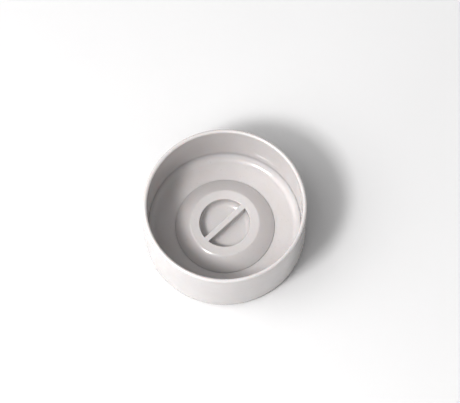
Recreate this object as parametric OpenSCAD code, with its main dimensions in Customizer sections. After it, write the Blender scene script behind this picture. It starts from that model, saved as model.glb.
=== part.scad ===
// Fence insulator: a round cup with a screw-down cap over its fixing screws.
// The origin is the centre of the underside. +Z runs up the cup's axis.
// The cap's grip web lies along X when the cap is screwed down.

/* [Cup] */
// Outer diameter at the lip
cup_d = 80; // [78:0.5:90]
// Overall height, from the gasket's underside to the lip
cup_h = 34.5; // [30:0.5:40]
// Wall thickness at the lip
wall_t = 2; // [1.8:0.1:3.2]
// How far the inner wall closes in between the lip and the floor
inner_draft = 0.5; // [0:0.1:1.2]
// Radius of the fillet between the inner wall and the floor
floor_fillet = 4; // [1:0.1:5]
// Height of the cup's floor around the cap
floor_z = 4.6; // [4.5:0.1:5.2]
// Radius of the rounded bottom edge
foot_round = 1.6; // [0.5:0.1:2.2]
// Gap between the cup's foot and the surface, taken up by the gasket
foot_gap = 0.3; // [0.2:0.1:0.6]

/* [Cap] */
// Outer diameter of the domed cap
cap_d = 49; // [48.8:0.1:51]
// Height of the dome above the cup's floor
cap_rise = 5.2; // [5:0.1:5.6]
// Diameter of the flat top ring
cap_flat_d = 33; // [32:0.2:34]
// Radius of the shoulder around the flat top
shoulder_r = 2.2; // [0.6:0.1:3]
// Slope at which the shoulder runs into the flank, in degrees
shoulder_slope = 29; // [10:1:29]
// Height of the cap's upright rim
rim_edge = 0.4; // [0.3:0.1:0.8]
// Diameter of the pocket that holds the two finger wells
well_d = 25; // [22:0.2:25.4]
// Depth of the finger wells
well_depth = 5.5; // [5.1:0.1:5.6]
// Radius of the scooped floor along the pocket's wall
well_fillet = 2.6; // [1:0.1:4.4]
// Width of the grip web between the wells
web_w = 2.9; // [2:0.1:4]
// Radius where the grip web runs into the well floors
web_fillet = 1.6; // [0.5:0.1:3]
// Radius that softens the edges of the wells and of the web
edge_r = 0.4; // [0.2:0.05:0.5]

/* [Thread] */
// Rise of the thread for each full turn
thread_lead = 5; // [4:0.5:5]
// Arc that each ridge covers, in degrees
ridge_arc = 160; // [120:5:165]
// How far a ridge stands out from its wall
ridge_depth = 0.8; // [0.6:0.05:0.9]

/* [Fixing] */
// Diameter of the circle that the fixing screws stand on
fixing_pcd = 38.2; // [37.8:0.1:38.4]
// Bore of the sleeves that the fixing screws pass through
sleeve_bore_d = 3.3; // [2.6:0.1:3.6]

/* [Hidden] */
$fn = 128;

eps = 0.01;
over = 1;

// Cup
cup_r = cup_d / 2;
lip_r = wall_t / 2;
lip_centre_r = cup_r - lip_r;
lip_centre_z = cup_h - lip_r;
inner_lip_r = cup_r - wall_t;
inner_floor_r = inner_lip_r - inner_draft;
recess_r = cap_d / 2 - 2.4;
recess_z = 2.7;
seal_groove_in = cap_d / 2 - 1.65;
seal_groove_out = cap_d / 2 - 0.55;
seal_groove_depth = 1;
gasket_in = 30;
gasket_out = cup_r - 3;
gasket_groove_depth = 1;
gasket_play = 0.05;

// Cap
cap_r = cap_d / 2;
cap_top_z = floor_z + cap_rise;
rim_gap = 0.12;
cap_rim_z = floor_z + rim_gap;
flat_r = cap_flat_d / 2;
well_r = well_d / 2;
well_floor_z = cap_top_z - well_depth;
hub_wall = 1.2;
hub_r = well_r + hub_wall;
hub_z = well_floor_z - hub_wall;
washer_seat_z = 7.4;
washer_seat_r = hub_r + 2.6;
cavity_top_z = 7.9;
cavity_flat_r = 17;
cavity_edge_z = floor_z + 0.9;

// Thread
starts = 2;
ridge_root_half = 0.45;
ridge_crest_half = 0.25;
ridge_embed = 0.4;
ridge_step = 8;
ridge_z = 3.9;
thread_clear = 0.3;

// Collar and the washer on it
collar_in = hub_r + ridge_depth + thread_clear;
collar_out = collar_in + 1.4;
collar_top_z = 6.7;
flange_r = recess_r - 0.2;
flange_t = 1.2;
flange_z = recess_z + flange_t;
key_w = 3;
key_depth = 0.7;
key_play = 0.2;
washer_in = hub_r + 0.3;
washer_z = collar_top_z + 0.1;
washer_t = 0.5;

// Fixings
fixing_r = fixing_pcd / 2;
fixings = 3;
sleeve_bore_r = sleeve_bore_d / 2;
sleeve_r = sleeve_bore_r + 0.65;
collar_screw_r = 0.9;
collar_screw_head_r = 1.9;
collar_screw_head_h = 1.2;
collar_screw_tip_z = 1.3;
drive_w = 0.6;
drive_depth = 0.7;

// Seal
seal_cord_r = 0.53;
seal_centre_r = (seal_groove_in + seal_groove_out) / 2;

// The dome's flank is one arc, tangent to the shoulder and ending at the rim
shoulder_end = [
    flat_r + shoulder_r * sin(shoulder_slope),
    cap_top_z - shoulder_r * (1 - cos(shoulder_slope))
];
flank_end = [cap_r, floor_z + rim_edge];
flank_chord = norm(flank_end - shoulder_end);
chord_slope = atan2(shoulder_end[1] - flank_end[1], flank_end[0] - shoulder_end[0]);
flank_r = flank_chord / 2 / sin(chord_slope - shoulder_slope);
flank_slope = 2 * chord_slope - shoulder_slope;
arc_steps = 16;

// Points of an arc about a centre, between two slopes measured from level
function slope_arc(centre, radius, from, to, steps) = [
    for (i = [0:steps])
        let (a = from + (to - from) * i / steps)
        centre + radius * [sin(a), cos(a)]
];

// Material that fills a corner, rounded off by a concave fillet
module corner_fill(radius) {
    difference() {
        square(radius);
        translate([radius, radius]) circle(radius);
    }
}

module around(count, radius, start = 0) {
    for (i = [0:count - 1])
        rotate([0, 0, start + 360 * i / count])
            translate([radius, 0, 0]) children();
}

module ring(outer, inner, low, high) {
    difference() {
        translate([0, 0, low]) cylinder(r = outer, h = high - low);
        translate([0, 0, low - over]) cylinder(r = inner, h = high - low + 2 * over);
    }
}

// One helical ridge whose root is sunk in the wall that carries it
module thread_ridge(wall_r, crest_r) {
    inward = crest_r < wall_r;
    root_r = inward ? wall_r + ridge_embed : wall_r - ridge_embed;
    steps = ceil(ridge_arc / ridge_step);
    section = [
        [root_r, -ridge_root_half],
        [crest_r, -ridge_crest_half],
        [crest_r, ridge_crest_half],
        [root_r, ridge_root_half]
    ];
    points = [
        for (i = [0:steps])
            let (a = ridge_arc * i / steps)
            for (p = section)
                [p[0] * cos(a), p[0] * sin(a), ridge_z + thread_lead * a / 360 + p[1]]
    ];
    last = 4 * steps;
    faces = [
        for (i = [0:steps - 1], k = [0:3])
            let (a = 4 * i + k, b = 4 * i + (k + 1) % 4)
            each [[a, a + 4, b + 4], [a, b + 4, b]],
        [0, 1, 2],
        [0, 2, 3],
        [last + 2, last + 1, last],
        [last + 3, last + 2, last]
    ];
    polyhedron(points, inward ? faces : [for (f = faces) [f[2], f[1], f[0]]]);
}

module cup_section() {
    difference() {
        union() {
            translate([0, foot_gap]) square([cup_r, floor_z - foot_gap]);
            polygon([
                [inner_floor_r, floor_z - eps],
                [cup_r, floor_z - eps],
                [cup_r, lip_centre_z],
                [inner_lip_r, lip_centre_z]
            ]);
            translate([lip_centre_r, lip_centre_z]) circle(lip_r);
            translate([inner_floor_r, floor_z]) mirror([1, 0]) corner_fill(floor_fillet);
        }
        translate([cup_r, foot_gap]) mirror([1, 0]) corner_fill(foot_round);
        translate([0, recess_z]) square([recess_r, floor_z]);
        translate([seal_groove_in, floor_z - seal_groove_depth])
            square([seal_groove_out - seal_groove_in, floor_z]);
        translate([gasket_in, 0])
            square([gasket_out - gasket_in, foot_gap + gasket_groove_depth]);
    }
}

// Cup: wall, lip and floor, with the recess that the cap screws down into
module cup_shell() {
    color("gainsboro") difference() {
        rotate_extrude() cup_section();
        around(fixings, fixing_r) cylinder(r = sleeve_r, h = cup_h);
        around(fixings, fixing_r, 180 / fixings)
            translate([0, 0, collar_screw_tip_z]) cylinder(r = collar_screw_r, h = cup_h);
    }
}

module cap_section() {
    polygon(concat(
        [[0, hub_z], [0, cap_top_z]],
        slope_arc([flat_r, cap_top_z - shoulder_r], shoulder_r, 0, shoulder_slope, 4),
        slope_arc(
            shoulder_end - flank_r * [sin(shoulder_slope), cos(shoulder_slope)],
            flank_r, shoulder_slope, flank_slope, arc_steps
        ),
        [
            [cap_r, cap_rim_z],
            [recess_r, cap_rim_z],
            [recess_r, cavity_edge_z],
            [cavity_flat_r, cavity_top_z],
            [washer_seat_r, cavity_top_z],
            [washer_seat_r, washer_seat_z],
            [hub_r, washer_seat_z],
            [hub_r, hub_z]
        ]
    ));
}

// Section of a well beside a wall at x = 0: scooped floor and softened upper edge
module well_section(width, fillet) {
    difference() {
        union() {
            translate([0, well_floor_z]) square([width, well_depth + over]);
            translate([-edge_r, cap_top_z - edge_r]) square([edge_r + eps, edge_r + over]);
        }
        translate([0, well_floor_z]) corner_fill(fillet);
        translate([-edge_r, cap_top_z - edge_r]) circle(edge_r);
    }
}

// The pocket's round scoop, with its softened edge
module pocket_scoop() {
    rotate_extrude()
        intersection() {
            translate([well_r, 0]) mirror([1, 0]) well_section(well_r + over, well_fillet);
            square([well_r + edge_r, cap_top_z + 2 * over]);
        }
}

// One finger well, on the +Y side of the web
module finger_well() {
    intersection() {
        pocket_scoop();
        translate([-well_d, web_w / 2, 0])
            rotate([90, 0, 90])
                linear_extrude(2 * well_d) well_section(well_d, web_fillet);
    }
}

// Cap: dome, two finger wells with the grip web between them, and the threaded hub
module turn_cap() {
    color("whitesmoke") union() {
        difference() {
            rotate_extrude() cap_section();
            finger_well();
            rotate([0, 0, 180]) finger_well();
        }
        for (i = [0:starts - 1])
            rotate([0, 0, 360 * i / starts]) thread_ridge(hub_r, hub_r + ridge_depth);
    }
}

// Washer between cap and collar: it rises with the cap, and its two keys stop it turning
module keyed_washer() {
    color("lightslategray") {
        ring(collar_out, washer_in, washer_z, washer_z + washer_t);
        around(2, collar_out - key_depth + key_play, 90)
            translate([0, -key_w / 2 + key_play, flange_z + key_play])
                cube([
                    key_depth - key_play,
                    key_w - 2 * key_play,
                    washer_z + washer_t - flange_z - key_play
                ]);
    }
}

// Collar with the inner thread, lying in the cup's recess
module thread_collar() {
    color("dimgray") union() {
        difference() {
            union() {
                ring(collar_out, collar_in, recess_z, collar_top_z);
                ring(flange_r, collar_in + eps, recess_z, flange_z);
            }
            around(fixings, fixing_r) cylinder(r = sleeve_r, h = cup_h);
            around(fixings, fixing_r, 180 / fixings)
                cylinder(r = collar_screw_r, h = cup_h);
            around(2, collar_out - key_depth, 90)
                translate([0, -key_w / 2, flange_z]) cube([key_depth + over, key_w, cup_h]);
        }
        for (i = [0:starts - 1])
            rotate([0, 0, 180 / starts + 360 * i / starts])
                thread_ridge(collar_in, collar_in - ridge_depth - thread_clear + 0.2);
    }
}

// Three screws that hold the collar in the cup's floor
module collar_screws() {
    color("silver") around(fixings, fixing_r, 180 / fixings) difference() {
        union() {
            translate([0, 0, collar_screw_tip_z])
                cylinder(r = collar_screw_r, h = flange_z - collar_screw_tip_z + eps);
            translate([0, 0, flange_z])
                cylinder(r = collar_screw_head_r, h = collar_screw_head_h);
        }
        translate([0, 0, flange_z + collar_screw_head_h]) {
            cube([2 * collar_screw_r + drive_w, drive_w, 2 * drive_depth], center = true);
            cube([drive_w, 2 * collar_screw_r + drive_w, 2 * drive_depth], center = true);
        }
    }
}

// Sleeves that carry the load of the fixing screws through the cup's floor
module screw_sleeves() {
    color("goldenrod") around(fixings, fixing_r)
        ring(sleeve_r, sleeve_bore_r, foot_gap, flange_z);
}

// Round-section seal under the cap's rim
module rim_seal() {
    color("black") rotate_extrude()
        translate([seal_centre_r, floor_z - seal_groove_depth + seal_cord_r]) circle(seal_cord_r);
}

// Flat gasket that the cup stands on
module foot_gasket() {
    color("darkslategray")
        ring(
            gasket_out - gasket_play,
            gasket_in + gasket_play,
            0,
            foot_gap + gasket_groove_depth
        );
}

cup_shell();
turn_cap();
keyed_washer();
thread_collar();
collar_screws();
screw_sleeves();
rim_seal();
foot_gasket();
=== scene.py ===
"""Looks of the fence insulator: materials, table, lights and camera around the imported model."""
import math

import bpy
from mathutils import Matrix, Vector


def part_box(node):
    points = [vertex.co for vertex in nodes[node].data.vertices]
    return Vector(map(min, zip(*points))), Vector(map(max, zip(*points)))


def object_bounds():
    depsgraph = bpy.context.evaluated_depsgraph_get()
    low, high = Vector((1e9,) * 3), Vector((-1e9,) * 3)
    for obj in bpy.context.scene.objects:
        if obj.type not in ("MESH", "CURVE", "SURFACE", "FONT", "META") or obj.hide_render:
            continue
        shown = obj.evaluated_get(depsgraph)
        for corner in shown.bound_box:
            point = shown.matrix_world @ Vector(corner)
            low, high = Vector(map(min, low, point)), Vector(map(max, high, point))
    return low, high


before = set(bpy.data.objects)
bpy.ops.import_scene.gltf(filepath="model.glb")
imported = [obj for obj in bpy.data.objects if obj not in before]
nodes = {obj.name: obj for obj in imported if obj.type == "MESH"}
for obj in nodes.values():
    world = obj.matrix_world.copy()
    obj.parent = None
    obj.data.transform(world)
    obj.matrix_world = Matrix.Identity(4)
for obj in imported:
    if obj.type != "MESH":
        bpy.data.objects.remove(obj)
cad_low, cad_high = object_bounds()

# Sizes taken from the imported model, in metres
CUP_WIDTH = cad_high.x - cad_low.x
CUP_HEIGHT = cad_high.z
CAP_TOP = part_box("turn_cap")[1].z

# Camera: WEB_ANGLE is the grip web's angle from the camera's right, in degrees. The camera aims
# at a point beside the centre of the cup's mouth.
WEB_ANGLE = 44.0
CAMERA_ELEVATION = 69.1
CAMERA_DISTANCE = 20 * CUP_WIDTH
VIEW_WIDTH = 2.8 * CUP_WIDTH
AIM_RIGHT = 0.032 * CUP_WIDTH
AIM_UP = 0.0215 * CUP_WIDTH
SENSOR = 36.0
CLIP_NEAR = 0.01
CLIP_FAR = 20.0

# Lights: azimuths are counted from the camera's right, anticlockwise from above
KEY_AZIMUTH = 221.0
KEY_ELEVATION = 53.0
KEY_DISTANCE = 1.0
KEY_SIZE = 0.2
KEY_POWER = 4.6
WINDOW_AZIMUTH = 200.0
WINDOW_ELEVATION = 48.0
WINDOW_DISTANCE = 3.0
WINDOW_SIZE = 3.6
WINDOW_POWER = 54.0
FILL_AZIMUTH = 335.0
FILL_ELEVATION = 20.0
FILL_POWER = 8.0
WORLD_STRENGTH = 0.64

# Contrast curve of the finished picture, set to match the photo
DISPLAY_GAMMA = 1 / 1.8

# Table. It lies a hair below the gasket, so that the two faces don't share a plane.
TABLE_SIZE = 6.0
TABLE_CELLS = 4
FLOOR_GAP = 0.00005
TABLE = (0.762, 0.759, 0.760)
TABLE_DEEP = (0.750, 0.747, 0.748)

# Colours of the pieces
SHELL = (0.685, 0.668, 0.665)
SHELL_DEEP = (0.668, 0.649, 0.646)
# Warm tint of the painted shade laid over the low parts of the plastic pieces
PAINTED_SHADE_TINT = (0.78, 0.74, 0.68)
ACETAL = (0.42, 0.45, 0.48)
NYLON = (0.16, 0.165, 0.17)
STEEL = (0.62, 0.62, 0.61)
BRASS = (0.72, 0.56, 0.3)
SEAL_RUBBER = (0.03, 0.03, 0.032)
GASKET_RUBBER = (0.06, 0.06, 0.062)

# How much darker or lighter than its piece each mark is, and the share of the cup's height
# that the painted shade reaches, darkening the foot and the cup's floor
SPECK_SHADE = 0.82
PAINTED_SHADE_DARKNESS = 0.74
PAINTED_SHADE_REACH = 0.35
DUST_SHADE = 1.9
DUST_LIFT = 0.01
FLOW_SHADE = 1.35
TARNISH_SHADE = 0.7

# Wear of the moulded plastic: the rubbed band below a top edge in metres, the roughness that
# wear adds there on the cup and on the cap, and the directions of the scuffs in radians
WORN_BAND = 0.0012
LIP_WEAR = 0.16
CAP_WEAR = 0.03
RING_WEAR = 0.06
SCUFF_WEAR = 0.05
SCUFF_ANGLES = (0.4, 1.5, 2.5)
SCUFF_LENGTH = 0.02
SCUFF_WIDTH = 0.0004

# Depths of the fine relief, in metres
PEEL_DEPTH = 0.000010
WAVE_DEPTH = 0.00003
SCUFF_DEPTH = 0.0000006
RUBBER_GRAIN = 0.00003
NYLON_GRAIN = 0.00002
TURNING_DEPTH = 0.00001

# How often the rubbed rings repeat outwards and the turning marks upwards, per metre, and how
# fast the rings change round the axis, per radian
RING_FINENESS = 4200
RING_CHANGE = 1.6
TURNING_FINENESS = 9000


def flat_direction(angle_from_right):
    """Level unit vector at an angle from the camera's right, anticlockwise seen from above."""
    a = math.radians(angle_from_right - WEB_ANGLE)
    return Vector((math.cos(a), math.sin(a), 0))


def lifted(direction, elevation):
    """A level unit vector tilted up by an elevation in degrees."""
    e = math.radians(elevation)
    return direction * math.cos(e) + Vector((0, 0, math.sin(e)))


def aim(thing, target):
    """Turns a camera or a light so that it looks at a point."""
    thing.rotation_euler = (target - thing.location).to_track_quat("-Z", "Y").to_euler()


def shade(colour, factor, lift=0.0):
    """A colour scaled by a factor and then raised by the same amount in each channel."""
    return [factor * c + lift for c in colour]


def add_camera():
    """The photo's view, with the web running up to the right."""
    back = lifted(flat_direction(270), CAMERA_ELEVATION)
    right = flat_direction(0)
    target = Vector((0, 0, CUP_HEIGHT)) + right * AIM_RIGHT + flat_direction(90) * AIM_UP
    data = bpy.data.cameras.new("camera")
    data.sensor_width = SENSOR
    data.lens = SENSOR * CAMERA_DISTANCE / VIEW_WIDTH
    data.clip_start = CLIP_NEAR
    data.clip_end = CLIP_FAR
    camera = bpy.data.objects.new("camera", data)
    bpy.context.scene.collection.objects.link(camera)
    camera.location = target + back * CAMERA_DISTANCE
    aim(camera, target)
    bpy.context.scene.camera = camera


class Maker:
    """Builds one material's node tree. A value is a number or another node's output."""

    def __init__(self, name):
        self.material = bpy.data.materials.new(name)
        self.material.use_nodes = True
        self.tree = self.material.node_tree
        self.shader = self.tree.nodes["Principled BSDF"]
        self.place = self.node("ShaderNodeTexCoord").outputs["Object"]

    def node(self, kind, **settings):
        """Adds a node and sets its properties."""
        made = self.tree.nodes.new(kind)
        for key, value in settings.items():
            setattr(made, key, value)
        return made

    def join(self, source, socket):
        """Links an output to an input."""
        self.tree.links.new(source, socket)

    def feed(self, sockets, values):
        """Links or sets each input in turn."""
        for socket, value in zip(sockets, values):
            if hasattr(value, "node"):
                self.join(value, socket)
            else:
                socket.default_value = value

    def surface(self, **inputs):
        """Links or sets the shader's inputs, named with underscores for spaces."""
        for name, value in inputs.items():
            self.feed([self.shader.inputs[name.replace("_", " ")]], [value])

    def math(self, operation, *values):
        """The result of a sum on numbers or outputs."""
        made = self.node("ShaderNodeMath", operation=operation)
        self.feed(made.inputs, values)
        return made.outputs[0]

    def vector(self, *values):
        """A vector made of three numbers or outputs."""
        made = self.node("ShaderNodeCombineXYZ")
        self.feed(made.inputs, values)
        return made.outputs[0]

    def noise(self, scale, detail=3.0, roughness=0.5, place=None):
        """Fractal noise, from 0 to 1."""
        made = self.node("ShaderNodeTexNoise")
        made.inputs["Scale"].default_value = scale
        made.inputs["Detail"].default_value = detail
        made.inputs["Roughness"].default_value = roughness
        self.join(place or self.place, made.inputs["Vector"])
        return made.outputs["Fac"]

    def ramp(self, value, low, high, out_low=0.0, out_high=1.0):
        """Maps low..high smoothly to out_low..out_high, and holds the ends."""
        made = self.node("ShaderNodeMapRange", interpolation_type="SMOOTHSTEP")
        self.join(value, made.inputs["Value"])
        made.inputs["From Min"].default_value = low
        made.inputs["From Max"].default_value = high
        made.inputs["To Min"].default_value = out_low
        made.inputs["To Max"].default_value = out_high
        return made.outputs["Result"]

    def mix_colour(self, factor, first, second):
        """Mixes two colours, each a triple or an output."""
        made = self.node("ShaderNodeMix", data_type="RGBA")
        colours = [c if hasattr(c, "node") else (*c, 1) for c in (first, second)]
        self.feed((made.inputs[0], made.inputs[6], made.inputs[7]), (factor, *colours))
        return made.outputs[2]

    def bump(self, height, distance, under=None):
        """Relief of a depth in metres, laid over an earlier relief."""
        made = self.node("ShaderNodeBump")
        made.inputs["Distance"].default_value = distance
        made.inputs["Strength"].default_value = 1.0
        self.join(height, made.inputs["Height"])
        if under:
            self.join(under, made.inputs["Normal"])
        return made.outputs["Normal"]

    def cylindrical(self):
        """Distance from the axis, angle about it and height, in metres and radians."""
        split = self.node("ShaderNodeSeparateXYZ")
        self.join(self.place, split.inputs[0])
        x, y, z = split.outputs
        squares = self.math("ADD", self.math("MULTIPLY", x, x), self.math("MULTIPLY", y, y))
        return self.math("SQRT", squares), self.math("ARCTAN2", y, x), z

    def scratches(self, angles):
        """Fine hairlines in a few directions, each broken up into short runs."""
        total = 0.0
        for turn in angles:
            mapped = self.node("ShaderNodeMapping", vector_type="TEXTURE")
            mapped.inputs["Rotation"].default_value = (0.3 * turn, 0.2, turn)
            mapped.inputs["Scale"].default_value = (SCUFF_LENGTH, SCUFF_WIDTH, SCUFF_LENGTH)
            self.join(self.place, mapped.inputs["Vector"])
            hairs = self.noise(scale=1, detail=1, roughness=0.4, place=mapped.outputs[0])
            lines = self.ramp(hairs, 0.66, 0.7)
            runs = self.ramp(self.noise(scale=70 + 20 * turn, detail=2), 0.58, 0.66)
            total = self.math("ADD", total, self.math("MULTIPLY", lines, runs))
        return self.math("MINIMUM", total, 1.0)


def moulded_colour(m, height, base, deep, top):
    """Mottling and specks all over, and patchy painted shade towards the foot and the cup's
    floor.
    """
    mottle = m.ramp(m.noise(scale=45, detail=4, roughness=0.6), 0.3, 0.7)
    specks = m.ramp(m.noise(scale=900, detail=2), 0.66, 0.74, out_high=0.35)
    # Painted shade: patchy warm darkening of the lowest part of each piece, strongest at the foot
    # and on the cup's floor
    shade_patches = m.ramp(m.noise(scale=28, detail=5, roughness=0.7), 0.5, 0.8, out_high=0.3)
    low = m.ramp(height, 0.0, PAINTED_SHADE_REACH * top, out_low=1, out_high=0)
    colour = m.mix_colour(mottle, base, deep)
    colour = m.mix_colour(specks, colour, shade(base, SPECK_SHADE))
    painted_shade = m.math("MULTIPLY", shade_patches, low)
    return m.mix_colour(painted_shade, colour, shade(PAINTED_SHADE_TINT, PAINTED_SHADE_DARKNESS))


def moulded_roughness(m, radius, angle, height, scuffs, top, wear):
    """Smears, rings rubbed round the axis, scuffs, and a worn band at the top edge."""
    outwards = m.math("MULTIPLY", radius, RING_FINENESS)
    around = m.vector(outwards, m.math("MULTIPLY", angle, RING_CHANGE), 0)
    rings = m.ramp(m.noise(scale=1, detail=2, place=around), 0.55, 0.75)
    rubbed = m.math("MULTIPLY", rings, m.ramp(m.noise(scale=60, roughness=0.6), 0.4, 0.7))
    patches = m.ramp(m.noise(scale=240, detail=4, roughness=0.7), 0.35, 0.65, out_low=0.45)
    worn = m.math("MULTIPLY", m.ramp(height, top - WORN_BAND, top), patches)
    rough = m.ramp(m.noise(scale=130, roughness=0.6), 0.35, 0.75, out_low=0.10, out_high=0.17)
    for mark, amount in ((rubbed, RING_WEAR), (scuffs, SCUFF_WEAR), (worn, wear)):
        rough = m.math("ADD", rough, m.math("MULTIPLY", mark, amount))
    return rough


def moulded_plastic(name, base, deep, top, wear):
    """Glossy moulded plastic for a piece whose worn upper edge is at the height top."""
    m = Maker(name)
    radius, angle, height = m.cylindrical()
    scuffs = m.scratches(SCUFF_ANGLES)
    peel = m.bump(m.noise(scale=750, detail=2), PEEL_DEPTH)
    waves = m.bump(m.noise(scale=110, detail=1, roughness=0.4), WAVE_DEPTH, under=peel)
    m.surface(
        Base_Color=moulded_colour(m, height, base, deep, top),
        Roughness=moulded_roughness(m, radius, angle, height, scuffs, top, wear),
        Normal=m.bump(scuffs, -SCUFF_DEPTH, under=waves),
        IOR=1.5,
        Subsurface_Weight=0.12,
        Subsurface_Radius=(1.0, 0.62, 0.42),
        Subsurface_Scale=0.0022,
        Coat_Weight=0.2,
        Coat_Roughness=0.05,
    )
    return m.material


def rubber(name, base):
    """Dull rubber with pale dust in its grain."""
    m = Maker(name)
    dust = m.ramp(m.noise(scale=260, detail=5, roughness=0.65), 0.45, 0.8)
    m.surface(
        Base_Color=m.mix_colour(dust, base, shade(base, DUST_SHADE, DUST_LIFT)),
        Roughness=m.ramp(m.noise(scale=500, roughness=0.6), 0.3, 0.7, 0.55, 0.8),
        Normal=m.bump(m.noise(scale=2600, roughness=0.6), RUBBER_GRAIN),
    )
    return m.material


def nylon(name, base):
    """Satin engineering plastic with flow marks."""
    m = Maker(name)
    flow = m.ramp(m.noise(scale=180, detail=5, roughness=0.65), 0.35, 0.7)
    m.surface(
        Base_Color=m.mix_colour(flow, base, shade(base, FLOW_SHADE)),
        Roughness=m.ramp(m.noise(scale=700, roughness=0.6), 0.3, 0.7, 0.36, 0.55),
        Normal=m.bump(m.noise(scale=1800, detail=4, roughness=0.6), NYLON_GRAIN),
    )
    return m.material


def turned_metal(name, base):
    """Bare metal with fine turning marks that run round the piece."""
    m = Maker(name)
    _, angle, height = m.cylindrical()
    around = m.vector(m.math("MULTIPLY", height, TURNING_FINENESS), angle, 0)
    marks = m.noise(scale=1, detail=2, roughness=0.6, place=around)
    tarnish = m.ramp(m.noise(scale=350, detail=4, roughness=0.6), 0.4, 0.75)
    m.surface(
        Base_Color=m.mix_colour(tarnish, base, shade(base, TARNISH_SHADE)),
        Metallic=1.0,
        Roughness=m.ramp(marks, 0.3, 0.7, 0.22, 0.4),
        Normal=m.bump(marks, TURNING_DEPTH),
    )
    return m.material


def dress(name, material):
    """Gives a piece of the frame its one material."""
    mesh = nodes[name].data
    mesh.materials.clear()
    mesh.materials.append(material)


def add_materials():
    """Dresses all eight pieces."""
    cup = moulded_plastic("cup_plastic", SHELL, SHELL_DEEP, CUP_HEIGHT, LIP_WEAR)
    cap = moulded_plastic("cap_plastic", SHELL, SHELL_DEEP, CAP_TOP, CAP_WEAR)
    dress("cup_shell", cup)
    dress("turn_cap", cap)
    dress("keyed_washer", nylon("washer_acetal", ACETAL))
    dress("thread_collar", nylon("collar_nylon", NYLON))
    dress("collar_screws", turned_metal("screw_steel", STEEL))
    dress("screw_sleeves", turned_metal("sleeve_brass", BRASS))
    dress("rim_seal", rubber("seal_rubber", SEAL_RUBBER))
    dress("foot_gasket", rubber("gasket_rubber", GASKET_RUBBER))


def add_floor():
    """A pale matt table top."""
    bpy.ops.mesh.primitive_grid_add(
        size=TABLE_SIZE,
        x_subdivisions=TABLE_CELLS,
        y_subdivisions=TABLE_CELLS,
        location=(0, 0, -FLOOR_GAP),
    )
    floor = bpy.context.object
    floor.name = "table_top"
    m = Maker("table_paint")
    tone = m.ramp(m.noise(scale=6), 0.3, 0.7)
    m.surface(
        Base_Color=m.mix_colour(tone, TABLE, TABLE_DEEP),
        Roughness=0.8,
        Specular_IOR_Level=0.2,
    )
    floor.data.materials.append(m.material)


def add_light(name, azimuth, elevation, distance, size, power):
    """A square white area light that looks at the middle of the cup's foot."""
    data = bpy.data.lights.new(name, "AREA")
    data.shape = "RECTANGLE"
    data.size = data.size_y = size
    data.energy = power
    light = bpy.data.objects.new(name, data)
    bpy.context.scene.collection.objects.link(light)
    light.location = lifted(flat_direction(azimuth), elevation) * distance
    aim(light, Vector((0, 0, 0)))


def add_lights():
    """A small key, a large window behind it, a weak fill, and an even sky."""
    add_light("key", KEY_AZIMUTH, KEY_ELEVATION, KEY_DISTANCE, KEY_SIZE, KEY_POWER)
    add_light(
        "window", WINDOW_AZIMUTH, WINDOW_ELEVATION, WINDOW_DISTANCE, WINDOW_SIZE, WINDOW_POWER
    )
    add_light("fill", FILL_AZIMUTH, FILL_ELEVATION, WINDOW_DISTANCE, WINDOW_SIZE, FILL_POWER)
    world = bpy.data.worlds.new("studio")
    world.use_nodes = True
    background = world.node_tree.nodes["Background"]
    background.inputs["Color"].default_value = (1, 1, 1, 1)
    background.inputs["Strength"].default_value = WORLD_STRENGTH
    bpy.context.scene.world = world
    settings = bpy.context.scene.view_settings
    settings.view_transform = "Standard"
    settings.gamma = DISPLAY_GAMMA


add_camera()
add_materials()
add_floor()
add_lights()
